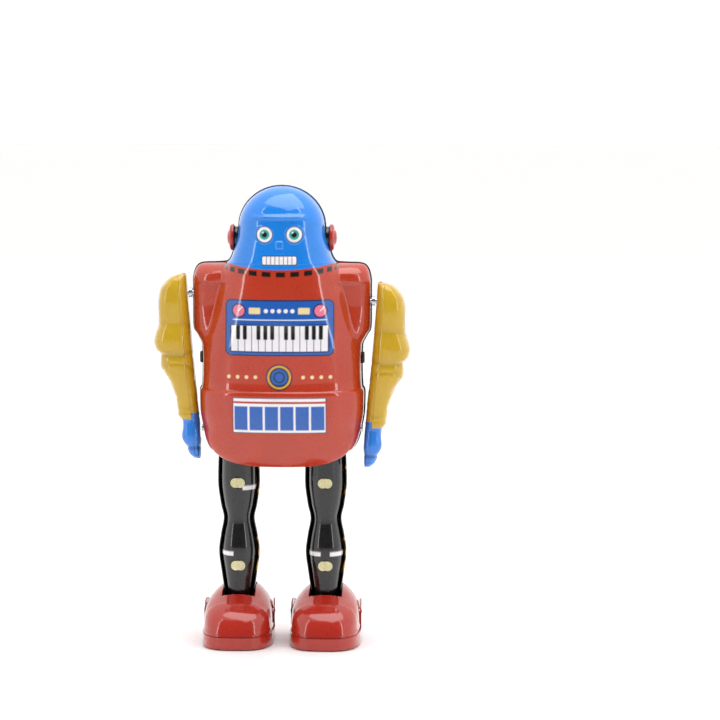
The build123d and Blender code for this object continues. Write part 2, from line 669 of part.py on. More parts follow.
def upper_solid(inset):
    rings = []
    last = UPPER_STATIONS[-1][0]
    for z, half_width, front, back in UPPER_STATIONS:
        level = min(z, last - inset)
        rings.append(oval(level, LEG_X, half_width - inset, front + inset, back - inset, UPPER_POWER))
    return skin(rings)


def shoe_parts(side):
    floor, rim = BAND_Z
    sole_top = floor + SOLE_T + 0.6
    roller_y, roller_r, roller_half = ROLLER
    hole_half, hole_front, hole_back = ROLLER_HOLE
    opening = block((LEG_X - hole_half, hole_front, -1), (LEG_X + hole_half, hole_back, sole_top))
    pin = rod(PIVOT_R, (LEG_X - 13.8, *ANKLE), (LEG_X + 13.8, *ANKLE))

    base = outline_solid(floor, rim, 0) - outline_solid(floor + SOLE_T, rim, TIN) - opening
    pad_half, pad_front, pad_back = HEEL_PAD
    base += block((LEG_X - pad_half, pad_front, 0), (LEG_X + pad_half, pad_back, floor))
    flap_y, flap_z, flap_r = CHEEK
    wall = outline_solid(rim, 20, 0.0) - outline_solid(rim, 20, TIN)
    base += wall & rod(flap_r, (0, flap_y, flap_z), (40, flap_y, flap_z))
    base -= pin

    half, front, back = ANKLE_SLOT
    upper = upper_solid(0) - upper_solid(TIN) - pin
    upper -= outline_solid(0, UPPER_STATIONS[0][0] + 0.01, 2.0)
    upper -= block((LEG_X - half, front, 5.5), (LEG_X + half, back, 30))

    sole = outline_solid(floor + SOLE_T, sole_top, 1.0) - opening
    axle_z = roller_r
    for near in (hole_half + 0.1, -hole_half - 0.1 - PLATE):
        ear = block((LEG_X + near, roller_y - 2, sole_top), (LEG_X + near + PLATE, roller_y + 2, 5.4))
        sole += ear
    axle_half = hole_half + PLATE + 0.7
    ends = (LEG_X - axle_half, roller_y, axle_z), (LEG_X + axle_half, roller_y, axle_z)
    sole -= rod(PIVOT_R, *ends)

    bend, back_end = PAWL_ROOT
    tip_y, tip_z = PAWL_TIP
    leaf = [(back_end, sole_top), (back_end, sole_top + PAWL_T), (bend + 0.1, sole_top + PAWL_T)]
    leaf += [(tip_y + 0.1, tip_z + 0.1), (tip_y - 0.1, tip_z - 0.15), (bend - 0.2, sole_top)]
    pawl = shifted(leaf, roller_y, 0)
    parts = {
        "shoe_base": base,
        "shoe_upper": upper,
        "sole_plate": sole,
        "ankle_pin": pin,
        "roller_axle": rod(PIVOT_R, *ends),
        "roller_pawl": plate_x(pawl, LEG_X - PAWL_HALF, LEG_X + PAWL_HALF),
        "roller": roller(),
    }
    return {f"{node}_{side}": flip(shape, side) for node, shape in parts.items()}


def roller():
    """A ribbed roller, with one rib straight down."""
    y, radius, half = ROLLER
    valley = radius - 0.35
    corners = []
    for i in range(ROLLER_RIBS):
        angle = -pi / 2 + 2 * pi * i / ROLLER_RIBS
        rib = ((valley, -0.1), (radius, -0.05), (radius, 0.05), (valley, 0.1))
        corners += [(r * cos(angle + a), r * sin(angle + a)) for r, a in rib]
    wheel = plate_x(shifted(corners, y, radius), LEG_X - half, LEG_X + half)
    return wheel - rod(PIVOT_R + RUNNING, (0, y, radius), (40, y, radius))


# ---------------------------------------------------------------- arms
def arm_solid(pivot_z, inset):
    """An arm's outline, hanging from its pivot."""
    rings = []
    top, bottom = ARM_STATIONS[0][0], ARM_STATIONS[-1][0]
    for z, inner, outer, front, back in ARM_STATIONS:
        level = pivot_z + min(max(z, bottom + inset), top - inset)
        middle = (inner + outer) / 2
        half = (outer - inner) / 2 - inset
        rings.append(oval(level, middle, half, ARM_Y - front + inset, ARM_Y + back - inset, ARM_POWER))
    return skin(rings)


def arm_parts(side):
    """Two pressed halves on a steel wire that is cranked down inside the torso."""
    pivot = ARM_Z[side]
    top, bottom = 12, -70
    seam = [(ARM_SEAM_X + ARM_CANT * top, pivot + top), (60, pivot + top)]
    seam += [(60, pivot + bottom), (ARM_SEAM_X + ARM_CANT * bottom, pivot + bottom)]
    outside = plate_y(seam, -20, 20)
    shell = arm_solid(pivot, 0) - arm_solid(pivot, TIN)
    corners = [(43, pivot - 7), (43, pivot), (LEVER_X, pivot), (LEVER_X, ARM_PIN_Z), (15.9, ARM_PIN_Z)]
    wire = Sphere(WIRE_R).moved(Location((43, ARM_Y, pivot)))
    for (x, z), (next_x, next_z) in zip(corners, corners[1:]):
        wire += rod(WIRE_R, (x, ARM_Y, z), (next_x, ARM_Y, next_z))
    for z in (pivot, ARM_PIN_Z):
        wire += Sphere(WIRE_R).moved(Location((LEVER_X, ARM_Y, z)))
    axis = (30, ARM_Y, pivot), (40, ARM_Y, pivot)
    radius, near, far = COLLAR
    parts = {
        "arm_outer_shell": shell & outside,
        "arm_inner_shell": shell - outside - rod(WIRE_R, *axis),
        "arm_wire": wire,
        "arm_collar": tube(radius, WIRE_R, (near, ARM_Y, pivot), (far, ARM_Y, pivot)),
    }
    return {f"{node}_{side}": flip(shape, side) for node, shape in parts.items()}


# ---------------------------------------------------------------- output
def robot():
    parts, body = torso_shells()
    parts.update(motor_frame())
    parts["arm_bearing_bracket"] = arm_bearing_bracket()
    parts.update(hip_parts())
    parts.update(winding_parts())
    parts.update(click_parts())
    parts.update(barrel_parts())
    parts.update(intermediate_parts())
    parts.update(crank_parts())
    parts.update(governor_parts())
    for side in SIDES:
        parts.update(ears(body, side))
        parts.update(leg_parts(side))
        parts.update(shoe_parts(side))
        parts.update(arm_parts(side))
    return parts


os.makedirs("parts", exist_ok=True)
for node, shape in robot().items():
    export_step(shape, f"parts/{node}.step")
    print(node, round(shape.volume, 2))
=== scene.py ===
"""Looks for the tin wind-up robot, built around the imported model."""
from math import cos, pi, radians, sin

import bpy
import numpy as np
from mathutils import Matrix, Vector


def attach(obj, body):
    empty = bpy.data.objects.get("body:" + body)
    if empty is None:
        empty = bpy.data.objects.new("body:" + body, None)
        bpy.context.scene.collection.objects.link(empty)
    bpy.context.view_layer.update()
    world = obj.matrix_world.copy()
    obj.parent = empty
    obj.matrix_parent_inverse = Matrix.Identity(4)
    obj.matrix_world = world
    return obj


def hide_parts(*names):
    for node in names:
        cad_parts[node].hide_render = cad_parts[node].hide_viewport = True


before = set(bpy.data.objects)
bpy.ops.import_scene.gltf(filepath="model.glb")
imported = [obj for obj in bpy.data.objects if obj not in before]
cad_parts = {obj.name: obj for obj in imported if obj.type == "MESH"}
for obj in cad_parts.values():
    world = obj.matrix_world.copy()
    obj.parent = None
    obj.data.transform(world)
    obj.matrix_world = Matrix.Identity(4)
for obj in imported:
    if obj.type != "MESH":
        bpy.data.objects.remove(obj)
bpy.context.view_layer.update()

MM = 0.001
SIDES = {"left": 1, "right": -1}

# ------------------------------------------------------------------ body outline, in millimetres
# height, half width, bulge half width, front depth, shoulder depth, back depth, squareness
BODY_LEVELS = [
    (68.4, 1.0, 1.0, 0.8, 0.8, 0.8, 3.2),
    (68.4, 13.0, 13.0, 11.6, 11.2, 8.6, 7.0),
    (69.2, 18.0, 18.0, 12.6, 12.0, 9.8, 7.0),
    (71.0, 22.8, 22.8, 13.8, 13.0, 11.4, 6.5),
    (74.0, 26.6, 26.6, 15.8, 14.4, 13.2, 5.6),
    (78.0, 29.0, 29.0, 17.6, 15.4, 14.4, 4.4),
    (83.0, 30.3, 30.3, 18.9, 16.2, 14.9, 3.2),
    (90.0, 31.3, 31.3, 19.7, 16.6, 15.0, 3.2),
    (96.4, 31.4, 31.4, 19.8, 16.6, 15.0, 3.2),
    (97.4, 31.2, 31.2, 19.6, 16.4, 15.0, 3.2),
    (98.4, 30.6, 30.6, 19.0, 15.7, 15.0, 3.2),
    (106.0, 30.3, 30.3, 18.8, 14.6, 15.0, 3.2),
    (114.0, 30.5, 29.8, 18.8, 12.8, 15.0, 3.2),
    (118.0, 32.2, 29.2, 18.7, 11.6, 15.0, 3.2),
    (120.5, 33.6, 28.4, 18.6, 10.6, 15.0, 3.2),
    (124.0, 33.8, 27.4, 18.5, 9.8, 14.9, 3.4),
    (130.0, 33.8, 26.0, 18.2, 8.8, 14.6, 3.6),
    (137.6, 33.8, 24.2, 17.8, 8.9, 14.0, 3.6),
    (138.8, 33.8, 23.9, 17.7, 10.0, 13.8, 3.4),
    (141.4, 33.4, 23.4, 17.4, 10.1, 13.2, 3.2),
    (143.4, 32.7, 22.6, 17.2, 8.4, 12.8, 3.0),
    (144.8, 31.4, 21.6, 17.0, 5.6, 12.4, 2.8),
    (145.3, 29.6, 21.2, 16.95, 3.6, 12.2, 2.6),
    (145.5, 24.0, 21.2, 16.9, 2.0, 12.4, 2.4),
    (145.8, 21.0, 20.9, 16.9, 0.3, 12.6, 2.3),
    (146.8, 19.8, 19.8, 16.8, 0.2, 12.8, 2.2),
    (148.6, 18.9, 18.9, 16.6, 0.2, 13.0, 2.2),
    (152.0, 17.9, 17.9, 16.3, 0.2, 13.3, 2.2),
    (159.0, 16.4, 16.4, 15.7, 0.2, 13.6, 2.2),
]
DOME_TOP = 174.6
DOME_STEPS = 10
BULGE_POWER = 2.4
VALLEY = 9.0                        # sharpness of the crease where bulge and flank meet


def dome_levels():
    """Levels of the round top of the head, above the last of the body's."""
    z, width, _, front, side, back, power = BODY_LEVELS[-1]
    height = DOME_TOP - z
    rows = []
    for k in range(1, DOME_STEPS + 1):
        angle = radians(89.95) * k / DOME_STEPS
        c = cos(angle)
        rows.append((z + height * sin(angle), width * c, width * c, front * c, side * c, back * c, power))
    return rows


def pchip(xs, ys):
    """A smooth curve through points that never overshoots them."""
    xs = np.asarray(xs, float)
    ys = np.asarray(ys, float)
    h = np.diff(xs)
    d = np.diff(ys) / h
    m = np.zeros(len(xs))
    for i in range(1, len(xs) - 1):
        if d[i - 1] * d[i] > 0:
            w1 = 2 * h[i] + h[i - 1]
            w2 = h[i] + 2 * h[i - 1]
            m[i] = (w1 + w2) / (w1 / d[i - 1] + w2 / d[i])
    m[0], m[-1] = d[0], d[-1]

    def curve(x):
        x = np.clip(x, xs[0], xs[-1])
        i = np.clip(np.searchsorted(xs, x, side="right") - 1, 0, len(h) - 1)
        t = (x - xs[i]) / h[i]
        a = (1 + 2 * t) * (1 - t) ** 2 * ys[i] + t * (1 - t) ** 2 * h[i] * m[i]
        return a + t * t * (3 - 2 * t) * ys[i + 1] + t * t * (t - 1) * h[i] * m[i + 1]

    return curve


def curves(rows):
    """Smooth curves of every column along the rows' own running length."""
    table = np.array(rows, float)
    steps = np.hypot(np.diff(table[:, 0]), np.diff(table[:, 1]))
    run = np.concatenate([[0], np.cumsum(np.maximum(steps, 1e-3))])
    return run, [pchip(run, table[:, k]) for k in range(table.shape[1])]


BODY_RUN, BODY = curves(BODY_LEVELS + dome_levels())
BODY_END = BODY_RUN[-1]
BODY_SAMPLES = np.linspace(0, BODY_END, 4000)
BODY_HEIGHTS = np.maximum.accumulate(BODY[0](BODY_SAMPLES))


def run_at(z):
    """Running length up the body's outline at height z."""
    return np.interp(z, BODY_HEIGHTS, BODY_SAMPLES)


def smooth_step(x, low, high):
    t = np.clip((x - low) / (high - low), 0, 1)
    return t * t * (3 - 2 * t)


def bump(x, centre, width):
    return np.exp(-(((x - centre) / width) ** 2))


# ------------------------------------------------------------------ pressed relief of the face
VISOR_Z = 163.6
EYE_X, EYE_Z, EYE_R = 5.6, 157.2, 2.9
NOSE = (1.3, 151.9, 154.9)          # half width, bottom, top
MOUTH = (6.4, 146.0, 149.0)         # half width, bottom, top


def relief(x, z):
    """How far a plain visor ridge, eye cups, nose and mouth stand out of the front."""
    visor = 0.8 * bump(z, VISOR_Z, 0.8) * smooth_step(11.0 - np.abs(x), 0, 2.0)
    cup = np.hypot(np.abs(x) - EYE_X, z - EYE_Z) / EYE_R
    eyes = 0.5 * (1 - smooth_step(cup, 0.6, 1.05)) + 0.3 * bump(cup, 1.12, 0.1)
    half, low, high = NOSE
    nose = 0.6 * smooth_step(half - np.abs(x), -0.4, 0.4) * smooth_step(z, low - 0.3, low + 0.3)
    nose = nose * smooth_step(high - z, -0.3, 0.8)
    half, low, high = MOUTH
    mouth = 0.35 * smooth_step(half - np.abs(x), -0.2, 0.6) * smooth_step((high - low) / 2 - np.abs(
        z - (high + low) / 2), -0.2, 0.5)
    return visor + eyes + nose + mouth


HEAD_Z = (144, 172)                 # where the relief of the face applies
HEAD_FROM = 146                     # above here the front is a little squarer


def body_point(s, run, front=True):
    """Points of the body's surface at angle s across it and running length run up it."""
    z, width, bulge, deep, side, back, power = [c(run) for c in BODY]
    x = width * np.sin(s)
    u = np.minimum(np.abs(np.sin(s)), 1.0)
    if front:
        v = np.minimum(np.abs(x) / bulge, 1.0)
        p = np.where(z > HEAD_FROM, 2.5, BULGE_POWER)
        swell = deep * np.maximum(1 - v ** p, 0) ** (1 / p)
        flank = side * np.maximum(1 - u ** power, 0) ** (1 / power)
        y = -((swell ** VALLEY + flank ** VALLEY + 1e-12) ** (1 / VALLEY))
        head = (z > HEAD_Z[0]) & (z < HEAD_Z[1])
        y = y - np.where(head, relief(x, z), 0) * np.clip(np.cos(s), 0, 1)
    else:
        y = back * np.maximum(1 - u ** power, 0) ** (1 / power)
    return np.stack([x, y, z], axis=-1)


# ------------------------------------------------------------------ meshes and materials
def ink(code):
    """Linear colour of a printing ink given as hex."""
    channels = [int(code[i:i + 2], 16) / 255 for i in (1, 3, 5)]
    return tuple(c / 12.92 if c <= 0.04045 else ((c + 0.055) / 1.055) ** 2.4 for c in channels)


RED = ink("#b8361c")
BLUE = ink("#1282e3")
YELLOW = ink("#cba421")
HAND_BLUE = ink("#2f80df")
BLACK = ink("#0b0b0d")
WHITE = ink("#f1edf2")
NAVY = ink("#0c2350")
CASE_BLUE = ink("#1a5cb4")
CREAM = ink("#f0d9a0")
GOLD = ink("#dba327")
PINK = ink("#e87891")
SHOE_RED = ink("#b0291b")
TEAL = ink("#3fa69b")
# brown of the painted shade in the sleeve's folds
SHADE_BROWN = ink("#6b4606")


def node(tree, kind, **inputs):
    made = tree.nodes.new(kind)
    for key, value in inputs.items():
        if hasattr(made, key) and not key[0].isupper():
            setattr(made, key, value)
        else:
            made.inputs[key.replace("_", " ")].default_value = value
    return made


def new_material(name):
    material = bpy.data.materials.new(name)
    material.use_nodes = True
    tree = material.node_tree
    shader = tree.nodes["Principled BSDF"]
    return material, tree, shader


def noise(tree, scale, detail=3.0, stretch=None):
    """Noise in the piece's own space, scale in features per metre."""
    coords = node(tree, "ShaderNodeTexCoord")
    source = coords.outputs["Object"]
    if stretch:
        mapping = node(tree, "ShaderNodeMapping")
        mapping.inputs["Scale"].default_value = stretch
        tree.links.new(source, mapping.inputs["Vector"])
        source = mapping.outputs["Vector"]
    made = node(tree, "ShaderNodeTexNoise", Scale=scale, Detail=detail)
    tree.links.new(source, made.inputs["Vector"])
    return made.outputs["Fac"]


def spread(tree, source, low, high, from_low=0.3, from_high=0.7):
    made = node(tree, "ShaderNodeMapRange")
    made.inputs["From Min"].default_value = from_low
    made.inputs["From Max"].default_value = from_high
    made.inputs["To Min"].default_value = low
    made.inputs["To Max"].default_value = high
    tree.links.new(source, made.inputs["Value"])
    return made.outputs["Result"]


def bumped(tree, shader, source, distance, strength=1.0):
    made = node(tree, "ShaderNodeBump", Strength=strength, Distance=distance)
    tree.links.new(source, made.inputs["Height"])
    tree.links.new(made.outputs["Normal"], shader.inputs["Normal"])


def lacquer(name, colour=None, coat=1.0, rough=0.30, mottling=0.05):
    """Glossy stoving lacquer on tinplate, from the printed inks or one colour."""
    material, tree, shader = new_material(name)
    if colour is None:
        source = node(tree, "ShaderNodeAttribute")
        source.attribute_name = "ink"
        base = source.outputs["Color"]
    else:
        source = node(tree, "ShaderNodeRGB")
        source.outputs[0].default_value = (*colour, 1)
        base = source.outputs[0]
    hue = node(tree, "ShaderNodeHueSaturation")
    tree.links.new(base, hue.inputs["Color"])
    cloud = noise(tree, 70.0, 4.0)
    tree.links.new(spread(tree, cloud, 1 - mottling, 1 + mottling), hue.inputs["Value"])
    tree.links.new(hue.outputs["Color"], shader.inputs["Base Color"])
    grain = noise(tree, 900.0, 2.0)
    tree.links.new(spread(tree, grain, rough - 0.05, rough + 0.07), shader.inputs["Roughness"])
    shader.inputs["Coat Weight"].default_value = coat
    shader.inputs["Coat Roughness"].default_value = 0.035
    shader.inputs["Coat IOR"].default_value = 1.52
    shader.inputs["Specular IOR Level"].default_value = 0.2
    peel = noise(tree, 420.0, 1.0)
    bumped(tree, shader, peel, 0.00005, 0.25)
    return material


def metal(name, colour, rough=0.3, stretch=(1, 1, 1), scale=1500.0, tint=0.12):
    """Bare metal with drawn or rolled grain and slight tarnish."""
    material, tree, shader = new_material(name)
    shader.inputs["Metallic"].default_value = 1.0
    source = node(tree, "ShaderNodeRGB")
    source.outputs[0].default_value = (*colour, 1)
    hue = node(tree, "ShaderNodeHueSaturation")
    tree.links.new(source.outputs[0], hue.inputs["Color"])
    tree.links.new(spread(tree, noise(tree, 160.0, 5.0), 1 - tint, 1 + tint), hue.inputs["Value"])
    tree.links.new(hue.outputs["Color"], shader.inputs["Base Color"])
    grain = noise(tree, scale, 3.0, stretch)
    tree.links.new(spread(tree, grain, rough - 0.08, rough + 0.12), shader.inputs["Roughness"])
    bumped(tree, shader, grain, 0.00003, 0.4)
    return material


# ------------------------------------------------------------------ camera, light and floor
def looking(azimuth, elevation):
    """Unit vectors of a camera's view: forward, right and up."""
    a, e = radians(azimuth), radians(elevation)
    forward = Vector((-sin(a) * cos(e), cos(a) * cos(e), -sin(e)))
    right = Vector((cos(a), sin(a), 0))
    return forward, right, right.cross(forward)


def make_camera():
    distance, lens = 1.15, 150.0
    forward, right, up = looking(2.5, 6.85)
    aim = Vector((0, 0, 84.7 * MM)) + right * 0.0296 + up * 0.0231
    data = bpy.data.cameras.new("camera")
    data.lens = lens
    data.sensor_width = 36.0
    data.dof.use_dof = False
    camera = bpy.data.objects.new("camera", data)
    camera.location = aim - forward * distance
    camera.rotation_euler = forward.to_track_quat("-Z", "Y").to_euler()
    bpy.context.scene.collection.objects.link(camera)
    bpy.context.scene.camera = camera


OPENING = (46.0, 4.0, 62.0)         # half width, edge strip and top of the tent's opening, degrees
TENT_LEVEL = 1.15
STRIP_LEVEL = 7.0
ROOM_LEVEL = 0.12


def make_world():
    """A white light tent with a dark front opening framed by brighter edges."""
    world = bpy.data.worlds.new("tent")
    bpy.context.scene.world = world
    world.use_nodes = True
    tree = world.node_tree
    back = tree.nodes["Background"]
    coords = node(tree, "ShaderNodeTexCoord")
    split = node(tree, "ShaderNodeSeparateXYZ")
    tree.links.new(coords.outputs["Generated"], split.inputs[0])

    def math(operation, a, b=None):
        made = node(tree, "ShaderNodeMath", operation=operation)
        for socket, value in zip(made.inputs, (a, b)):
            if value is None:
                continue
            if isinstance(value, (int, float)):
                socket.default_value = value
            else:
                tree.links.new(value, socket)
        return made.outputs[0]

    def ramp(value, low, high):
        made = node(tree, "ShaderNodeMapRange", interpolation_type="SMOOTHSTEP")
        made.inputs["From Min"].default_value = low
        made.inputs["From Max"].default_value = high
        tree.links.new(value, made.inputs["Value"])
        return made.outputs["Result"]

    x, y, z = split.outputs
    azimuth = math("ABSOLUTE", math("ARCTAN2", x, math("MULTIPLY", y, -1.0)))
    height = math("ARCSINE", z)
    half, edge, top = (radians(angle) for angle in OPENING)
    inside = math("MULTIPLY", math("SUBTRACT", 1.0, ramp(azimuth, half - 0.02, half + 0.02)),
                  math("SUBTRACT", 1.0, ramp(height, top - 0.03, top + 0.03)))
    strip = math("MULTIPLY", ramp(azimuth, half, half + 0.02),
                 math("SUBTRACT", 1.0, ramp(azimuth, half + edge, half + edge + 0.03)))
    strip = math("MULTIPLY", strip, math("SUBTRACT", 1.0, ramp(height, 1.0, 1.1)))
    level = math("ADD", TENT_LEVEL, math("MULTIPLY", strip, STRIP_LEVEL - TENT_LEVEL))
    level = math("MULTIPLY", level, math("SUBTRACT", 1.0, inside))
    level = math("ADD", level, math("MULTIPLY", inside, ROOM_LEVEL))
    tree.links.new(level, back.inputs["Strength"])
    back.inputs["Color"].default_value = (1.0, 0.995, 0.985, 1)


def make_floor():
    size = 4.0                      # half width, metres
    mesh = bpy.data.meshes.new("floor")
    corners = [(-size, -size, 0), (size, -size, 0), (size, size, 0), (-size, size, 0)]
    mesh.from_pydata(corners, [], [(0, 1, 2, 3)])
    material, tree, shader = new_material("floor_paper")
    shader.inputs["Base Color"].default_value = (0.93, 0.93, 0.93, 1)
    tree.links.new(spread(tree, noise(tree, 30.0), 0.45, 0.6), shader.inputs["Roughness"])
    mesh.materials.append(material)
    floor = bpy.data.objects.new("floor", mesh)
    bpy.context.scene.collection.objects.link(floor)


def area_light(name, place, target, size, power):
    data = bpy.data.lights.new(name, "AREA")
    data.shape = "RECTANGLE"
    data.size, data.size_y = size
    data.energy = power
    lamp = bpy.data.objects.new(name, data)
    lamp.location = place
    lamp.rotation_euler = (Vector(target) - Vector(place)).to_track_quat("-Z", "Y").to_euler()
    bpy.context.scene.collection.objects.link(lamp)


def make_studio():
    bpy.context.scene.view_settings.view_transform = "Standard"
    make_camera()
    make_world()
    make_floor()
    area_light("top_softbox", (0.1, -0.1, 0.9), (0, 0, 0.1), (0.7, 0.7), 4.0)


# ------------------------------------------------------------------ printing
PRINT_EDGE = 0.26                   # width over which one ink gives way to another
PANEL = (20.6, 111.6, 132.8)        # half width, bottom, top
DIAL_Z = 128.6
GRILLE_Z = 103.6
GRILLE_RINGS = (
    (5.0, NAVY), (4.5, GOLD), (3.7, NAVY), (3.1, CASE_BLUE), (2.2, NAVY), (1.6, CASE_BLUE),
)
BAND = (17.4, 82.6, 95.6)           # half width, bottom, top
BAND_PANELS = 6
BACK_PANEL = (15.0, 100.0, 130.0)   # half width, bottom, top
COLLAR = (14.2, 8.8, 1.2)           # pitch, length and offset of the dashes, degrees


class Print:
    """Inks laid over a grid of points, each shape over the ones before it, in millimetres."""

    def __init__(self, x, z, base, mask=None):
        self.x = x
        self.z = z
        self.mask = mask
        self.inks = np.broadcast_to(np.array(base, float), (*x.shape, 3)).copy()

    def fill(self, distance, colour):
        cover = np.clip(0.5 - distance / PRINT_EDGE, 0, 1)
        if self.mask is not None:
            cover = cover * self.mask
        self.inks += (np.array(colour) - self.inks) * cover[..., None]

    def rect(self, x0, x1, z0, z1, colour, radius=0.0):
        dx = np.abs(self.x - (x0 + x1) / 2) - (x1 - x0) / 2 + radius
        dz = np.abs(self.z - (z0 + z1) / 2) - (z1 - z0) / 2 + radius
        outside = np.hypot(np.maximum(dx, 0), np.maximum(dz, 0))
        self.fill(outside + np.minimum(np.maximum(dx, dz), 0) - radius, colour)

    def disc(self, x, z, radius, colour):
        self.fill(np.hypot(self.x - x, self.z - z) - radius, colour)

    def line(self, points, width, colour):
        """A stroke along a run of straight lines."""
        near = np.full(self.x.shape, 1e9)
        for (ax, az), (bx, bz) in zip(points, points[1:]):
            ex, ez = bx - ax, bz - az
            t = np.clip(((self.x - ax) * ex + (self.z - az) * ez) / (ex * ex + ez * ez), 0, 1)
            near = np.minimum(near, np.hypot(self.x - ax - t * ex, self.z - az - t * ez))
        self.fill(near - width / 2, colour)


def print_keys(page, x0, pitch, octaves, z0, z1):
    """A plain piano keyboard of whole octaves."""
    count = 7 * octaves
    x1 = x0 + pitch * count
    page.rect(x0 - 0.5, x1 + 0.5, z0 - 0.5, z1 + 0.5, NAVY)
    page.rect(x0, x1, z0, z1, WHITE)
    for k in range(1, count):
        page.rect(x0 + pitch * k - 0.13, x0 + pitch * k + 0.13, z0, z1, NAVY)
    for octave in range(octaves):
        for k in (1, 2, 4, 5, 6):
            x = x0 + pitch * (7 * octave + k)
            page.rect(x - 0.75, x + 0.75, (z0 + z1) / 2 - 0.4, z1, BLACK, 0.2)


def print_dial(page, x, z, radius, colour):
    page.disc(x, z, radius + 0.5, NAVY)
    page.disc(x, z, radius, colour)
    page.line([(x, z), (x + 0.6 * radius, z + 0.6 * radius)], 0.4, WHITE)


def print_panel(page):
    """A plain rectangular instrument panel with a keyboard."""
    half, low, high = PANEL
    page.rect(-half, half, low, high, NAVY, 2.4)
    page.rect(-half + 0.5, half - 0.5, low + 0.5, high - 0.5, CASE_BLUE, 2.0)
    for side in (1, -1):
        print_dial(page, side * 15.4, DIAL_Z, 2.2, PINK)
        page.rect(side * 9.3 - 2.2, side * 9.3 + 2.2, 127.4, 129.8, CREAM, 0.4)
    for k in range(-2, 3):
        page.disc(2.5 * k, DIAL_Z, 0.8, WHITE)
    page.line([(-17.5, 125.2), (17.5, 125.2)], 0.35, WHITE)
    print_keys(page, -18.2, 2.6, 2, 113.4, 123.0)


def print_grille(page):
    """A round loudspeaker grille between rows of rivets."""
    for radius, colour in GRILLE_RINGS:
        page.disc(0, GRILLE_Z, radius, colour)
    for side in (1, -1):
        for k in range(4):
            page.disc(side * (9.0 + 3.4 * k), GRILLE_Z, 0.7, CREAM)


def print_band(page):
    """A waist band of plain panels."""
    half, low, high = BAND
    page.rect(-half - 0.3, half + 0.3, low - 0.3, high + 0.3, NAVY)
    page.rect(-half, half, low, high, WHITE)
    page.rect(-half, half, high - 1.9, high - 1.1, RED)
    width = 2 * half / BAND_PANELS
    for k in range(BAND_PANELS):
        x = -half + width * k
        page.rect(x + 0.4, x + width - 0.4, low + 0.9, high - 3.0, CASE_BLUE)


def neck_line(x):
    """Height at which the print of the head begins."""
    return 143.9 + 2.2 * (x / 21) ** 2


def print_collar(page):
    """The print of the head and a row of plain dashes below it."""
    page.fill(neck_line(page.x) - page.z, BLUE)
    angle = np.degrees(np.arcsin(np.clip(page.x / 22.0, -1, 1)))
    pitch, dash, offset = COLLAR
    along = np.abs((angle - offset + pitch / 2) % pitch - pitch / 2) - dash / 2
    across = np.abs(page.z - neck_line(page.x) + 1.7) - 0.9
    page.fill(np.maximum(np.maximum(along * 0.38, across), np.abs(page.x) - 21.2), BLACK)


def print_face(page):
    """Plain round eyes with a painted highlight on each pupil, and a mouth plate with bars."""
    for side in (1, -1):
        x = side * EYE_X
        page.disc(x, EYE_Z, EYE_R + 0.3, NAVY)
        page.disc(x, EYE_Z, EYE_R, WHITE)
        page.disc(x, EYE_Z, 1.9, TEAL)
        page.disc(x, EYE_Z, 1.0, BLACK)
        # painted highlight: a small white glint on each pupil
        page.disc(x - 0.6, EYE_Z + 0.8, 0.35, WHITE)
    half, low, high = MOUTH
    page.rect(-half - 0.3, half + 0.3, low - 0.3, high + 0.3, NAVY, 0.8)
    page.rect(-half, half, low, high, WHITE, 0.6)
    for k in range(-3, 4):
        page.rect(1.6 * k - 0.12, 1.6 * k + 0.12, low, high, NAVY)


# ------------------------------------------------------------------ pieces
def settle(piece, body, nodes):
    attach(piece, body)
    if nodes:
        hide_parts(*nodes)
    return piece


def sheet_piece(name, points, material, inks=None, holes=None, flip_faces=False, thick=0.45):
    """Pressed tinplate from a grid of points, rows by columns, solid right through."""
    rows, cols = points.shape[:2]
    index = np.arange(rows * cols).reshape(rows, cols)
    quads = np.stack([index[:-1, :-1], index[:-1, 1:], index[1:, 1:], index[1:, :-1]], axis=-1)
    if flip_faces:
        quads = quads[..., ::-1]
    quads = quads[~holes] if holes is not None else quads.reshape(-1, 4)
    used, packed = np.unique(quads, return_inverse=True)
    mesh = bpy.data.meshes.new(name)
    mesh.from_pydata((points.reshape(-1, 3)[used] * MM).tolist(), [], packed.reshape(-1, 4).tolist())
    mesh.polygons.foreach_set("use_smooth", [True] * len(mesh.polygons))
    if inks is not None:
        layer = mesh.color_attributes.new("ink", "FLOAT_COLOR", "POINT")
        rgba = np.ones((len(used), 4))
        rgba[:, :3] = inks.reshape(-1, 3)[used]
        layer.data.foreach_set("color", rgba.ravel())
    mesh.materials.append(material)
    piece = bpy.data.objects.new(name, mesh)
    bpy.context.scene.collection.objects.link(piece)
    shell = piece.modifiers.new("gauge", "SOLIDIFY")
    shell.thickness = thick * MM
    shell.offset = -1
    return piece


def middles(values):
    return (values[:-1, :-1] + values[1:, :-1] + values[:-1, 1:] + values[1:, 1:]) / 4


# inner and outer half width, front, back and top of the opening that clears each leg
LEG_OPENING = (8.4, 25.5, -11.3, 7.9, 77.2)
HEM_Z = 74.4                        # below here nothing is left outside the opening
SEAM_BEAD = 0.4                     # how far the back shell's edge stands out of the front's
KEY_Z = 115.0
EAR_Z = 155.0
LEG_X = 16.7
HIP_Y = -2.0


def leg_holes(points):
    x, y, z = (middles(points[..., k]) for k in range(3))
    inner, outer, front, back, top = LEG_OPENING
    beside = (np.abs(x) < outer) | (z < HEM_Z)
    return (np.abs(x) > inner) & beside & (y > front) & (y < back) & (z < top)


